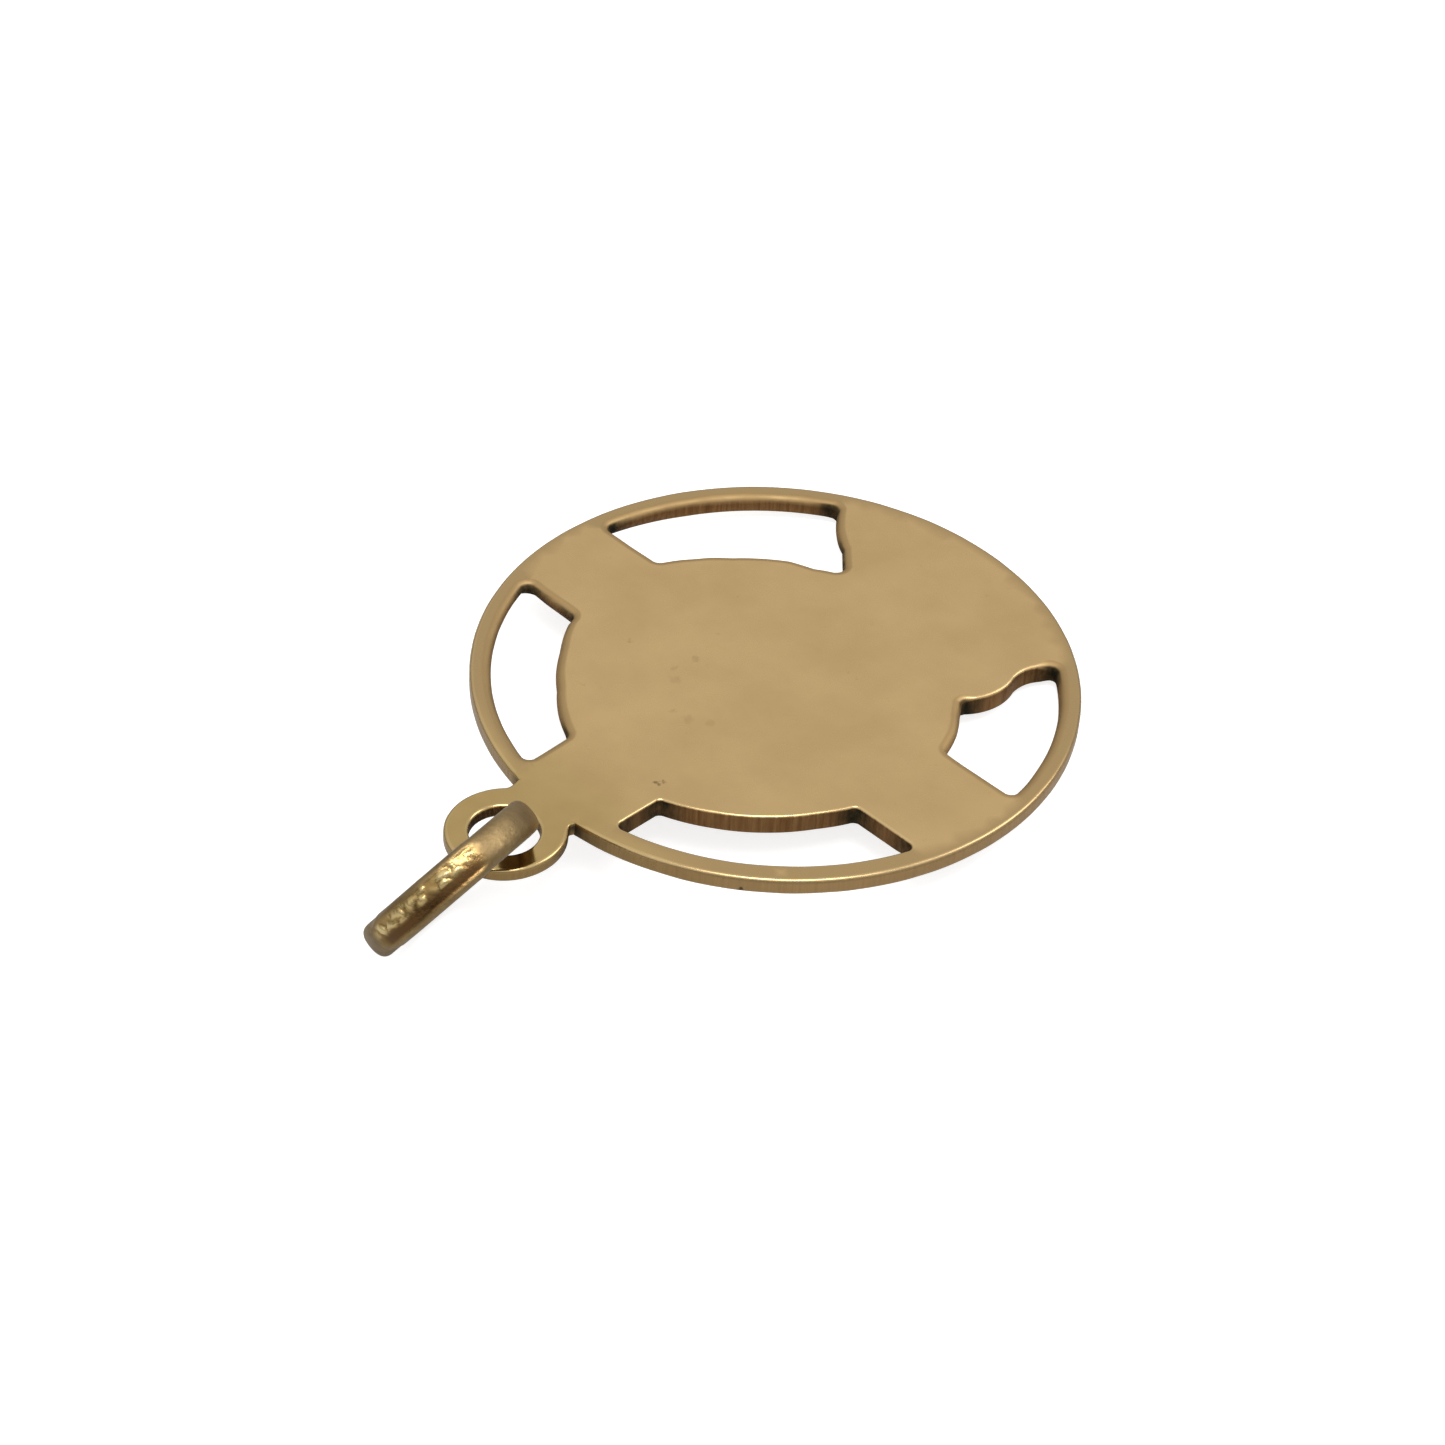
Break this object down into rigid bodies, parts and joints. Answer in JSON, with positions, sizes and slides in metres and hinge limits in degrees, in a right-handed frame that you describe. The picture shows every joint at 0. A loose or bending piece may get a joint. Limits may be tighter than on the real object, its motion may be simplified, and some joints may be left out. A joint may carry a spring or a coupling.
{
  "type": "pierced disc pendant",
  "caption": "Flat round metal token with sawn windows, a soldered eye on its rim and a loose bail ring linked through the eye.",
  "frame": {"origin": "centre of the disc on its raised side, the face it stands on", "axes": "+Z is the disc's axis, towards the plain flat face; -Y runs from the centre through the eye to the bail; the rim's centre is on Z"},
  "size_m": [0.025, 0.0347, 0.0072],
  "materials": {
    "disc_metal": "satin yellow-gold colour, finely brushed",
    "eye_metal": "satin yellow-gold colour, polished edge",
    "bail_metal": "worn yellow-gold colour, matte ends and a bright dented stretch"
  },
  "bodies": {
    "token": {"disc": "disc_metal", "eye": "eye_metal"},
    "bail": {"bail": "bail_metal"}
  },
  "joints": [
    {"name": "bail_swing", "type": "hinge", "parent": "token", "child": "bail", "pos_m": [0.00031, -0.0169, 0.00077], "axis": [-0.8222, -0.145, 0.5505], "range_deg": [-50, 50]}
  ]
}
